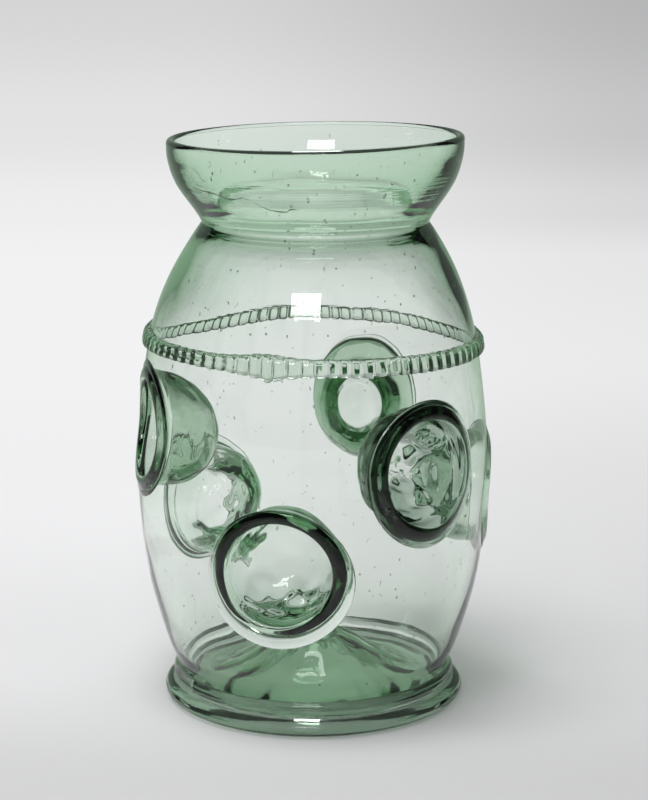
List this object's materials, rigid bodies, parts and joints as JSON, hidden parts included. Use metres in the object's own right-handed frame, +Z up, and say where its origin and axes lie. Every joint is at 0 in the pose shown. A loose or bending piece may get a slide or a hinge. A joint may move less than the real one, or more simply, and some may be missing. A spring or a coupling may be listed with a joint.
{
  "type": "thumb glass",
  "caption": "Free-blown green drinking glass with a barrel body, cupped mouth, hollow thumb grips let into the wall, a milled thread round the shoulder and a wound foot.",
  "frame": {"origin": "on the vessel's axis at the level that the foot stands on", "axes": "+Z up along the vessel's axis to the mouth, -Y towards the side that the picture shows, +X to its right"},
  "size_m": [0.1262, 0.1261, 0.2008],
  "materials": {
    "wall_glass": "pale green seedy free-blown glass, fire polished",
    "cup_glass": "thicker green glass with a dark rolled lip, fire polished",
    "thread_glass": "pale green glass trail impressed by a toothed wheel",
    "foot_glass": "green wound glass trail, lightly scuffed where it stands"
  },
  "bodies": {
    "root": {"vessel": "wall_glass", "thumb_cup_left": "cup_glass", "thumb_cup_front": "cup_glass", "thumb_cup_right_front": "cup_glass", "thumb_cup_right": "cup_glass", "thumb_cup_back": "cup_glass", "thumb_cup_back_left": "cup_glass", "milled_thread": "thread_glass", "upper_foot_coil": "foot_glass", "lower_foot_coil": "foot_glass"}
  },
  "joints": []
}
